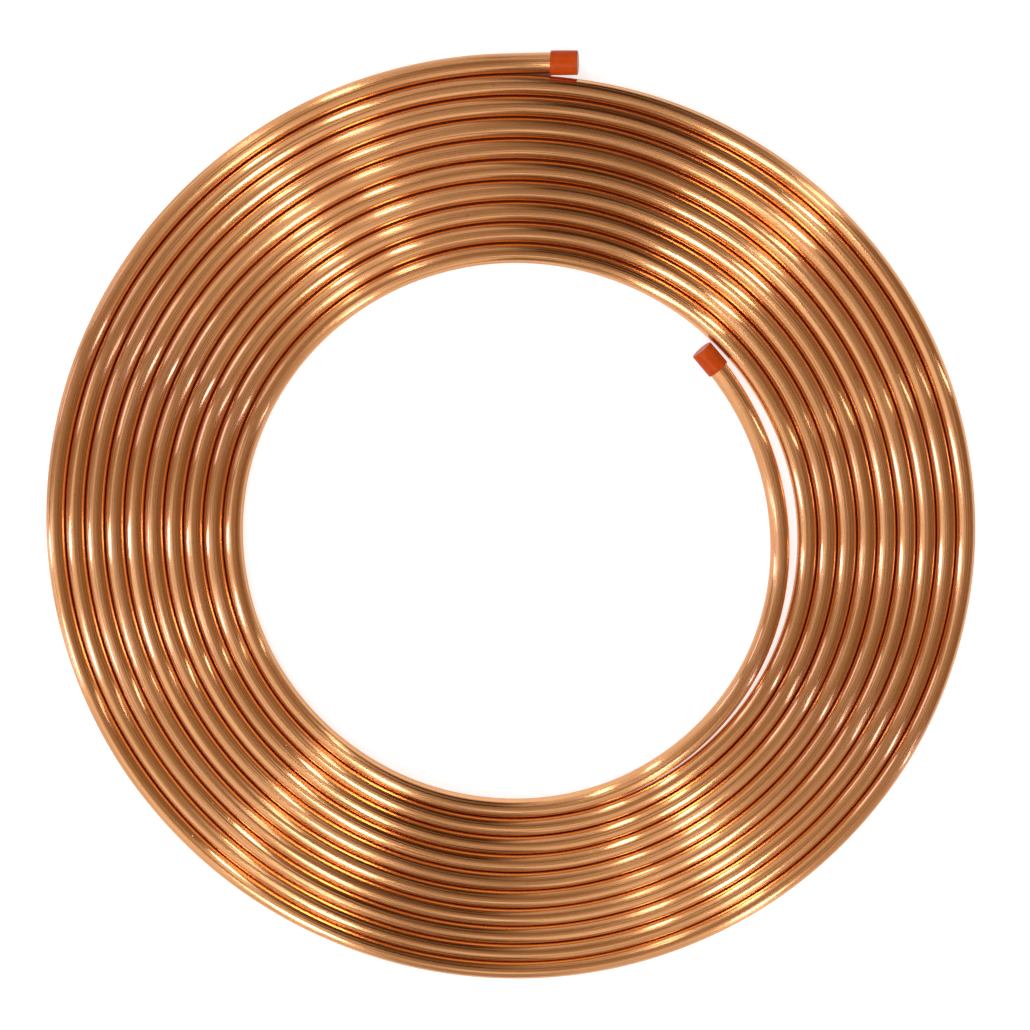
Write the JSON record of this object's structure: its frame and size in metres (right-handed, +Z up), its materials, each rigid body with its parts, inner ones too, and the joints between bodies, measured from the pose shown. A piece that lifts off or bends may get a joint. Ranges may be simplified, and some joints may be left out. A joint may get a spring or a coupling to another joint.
{
  "type": "copper tube coil",
  "caption": "Flat single-layer coil of soft copper tube lying on its side, with an open eye and a plastic dust cap over each end of the tube.",
  "frame": {"origin": "under the middle of the coil, on the surface that it lies on", "axes": "+Z up, along the eye; +X along the outer end of the tube towards its cap; +Y from the middle to the outer end"},
  "size_m": [0.6122, 0.6194, 0.0176],
  "materials": {
    "copper": "drawn, bright, lightly toned",
    "orange_plastic": "moulded, satin"
  },
  "bodies": {
    "root": {"copper_tube": "copper", "outer_end_cap": "orange_plastic", "inner_end_cap": "orange_plastic"}
  },
  "joints": []
}
